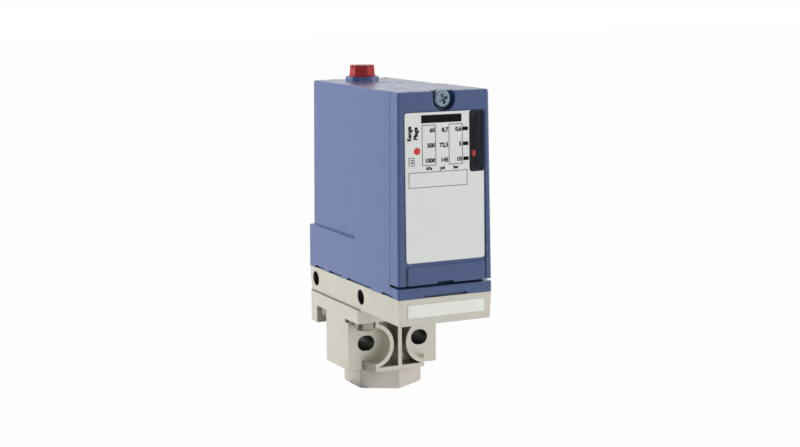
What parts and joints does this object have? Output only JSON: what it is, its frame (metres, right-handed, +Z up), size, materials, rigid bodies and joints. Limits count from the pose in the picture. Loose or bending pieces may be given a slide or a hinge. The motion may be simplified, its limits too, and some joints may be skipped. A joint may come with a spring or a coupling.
{
  "type": "pressure switch",
  "caption": "Slim electromechanical pressure switch: blue housing with a removable scale cover and red range adjuster on a die-cast base with a female hexagon port below.",
  "frame": {"origin": "centre of the mouth of the pressure port, on the underside of the hexagon", "axes": "+Z up along the port's axis, front cover facing -Y, +X to the right seen from the front"},
  "size_m": [0.035, 0.075, 0.1135],
  "materials": {
    "steel_plated": "zinc-plated steel, satin",
    "die_cast_zinc": "bead-blasted die-cast zinc alloy, fine matt grain",
    "fitting_metal": "turned and milled steel hexagon, plain",
    "blue_plastic": "moulded polyamide, fine texture, slight sheen",
    "black_plastic": "black moulded plastic",
    "clear_window": "clear acrylic lens, polished",
    "white_plastic": "white acetal",
    "red_plastic": "red moulded plastic, semi-gloss",
    "rubber_seal": "black nitrile rubber",
    "label_film": "silver-white polyester film",
    "brass": "machined brass",
    "contact_metal": "stamped brass with silver tips",
    "spring_steel": "dark patented spring wire",
    "sheet_steel": "bent zinc-plated sheet steel",
    "insulator": "cream glass-filled thermoset"
  },
  "bodies": {
    "switch": {"port_fitting": "fitting_metal", "port_seal": "rubber_seal", "diaphragm": "rubber_seal", "pressure_body": "die_cast_zinc", "flange_screws": "steel_plated", "base_plate": "die_cast_zinc", "id_plate": "label_film", "base_gasket": "rubber_seal", "housing": "blue_plastic", "base_screws": "steel_plated", "spindle_seal": "rubber_seal", "cover_gasket": "rubber_seal", "pointer_backplate": "black_plastic", "mechanism_frame": "sheet_steel", "frame_screws": "steel_plated", "lever_pin": "steel_plated", "contact_block": "insulator", "block_screws": "steel_plated", "terminals": "contact_metal", "terminal_clamps": "steel_plated", "terminal_screws": "steel_plated", "earth_screw": "steel_plated", "earth_washer": "steel_plated"},
    "cover": {"front_cover": "blue_plastic", "label_plate": "label_film", "indicator_window": "clear_window", "screw_retainer": "white_plastic"},
    "cover_fastener": {"cover_screw": "steel_plated"},
    "adjuster": {"range_cap": "red_plastic", "range_spindle": "steel_plated"},
    "carriage": {"range_nut": "brass", "pointer_arm": "sheet_steel", "range_pointer": "red_plastic", "range_spring": "spring_steel"},
    "lever": {"rocker_lever": "sheet_steel", "spring_seat": "steel_plated"},
    "pressure_piston": {"piston": "steel_plated"},
    "plunger": {"contact_plunger": "red_plastic", "contact_bridge": "contact_metal", "plunger_spring": "spring_steel"}
  },
  "joints": [
    {"name": "cover_removal", "type": "slide", "parent": "switch", "child": "cover", "axis": [0, -1, 0], "range_m": [0, 0.03]},
    {"name": "cover_screw_turn", "type": "hinge", "parent": "cover", "child": "cover_fastener", "pos_m": [0, -0.0464, 0.1053], "axis": [0, -1, 0], "continuous": true},
    {"name": "range_turn", "type": "hinge", "parent": "switch", "child": "adjuster", "pos_m": [0, 0.0145, 0.1], "axis": [0, 0, 1], "range_deg": [-432, 3168]},
    {"name": "carriage_slide", "type": "slide", "parent": "switch", "child": "carriage", "axis": [0, 0, 1], "range_m": [-0.0012, 0.0088], "deforming": ["range_spring"]},
    {"name": "lever_rock", "type": "hinge", "parent": "switch", "child": "lever", "pos_m": [0, -0.009, 0.0479], "axis": [1, 0, 0], "range_deg": [0, 5], "stiffness_Nm_per_rad": 0.5, "springref_deg": -11.46},
    {"name": "piston_stroke", "type": "slide", "parent": "switch", "child": "pressure_piston", "axis": [0, 0, 1], "range_m": [0, 0.0008]},
    {"name": "plunger_stroke", "type": "slide", "parent": "switch", "child": "plunger", "axis": [0, 0, 1], "range_m": [-0.0011, 0], "deforming": ["plunger_spring"]}
  ],
  "couplings": [
    {"joint": "range_turn", "follows": "carriage_slide", "rad_per_m": 6283.2},
    {"joint": "piston_stroke", "follows": "lever_rock", "m_per_rad": 0.009},
    {"joint": "plunger_stroke", "follows": "lever_rock", "m_per_rad": -0.0125}
  ]
}
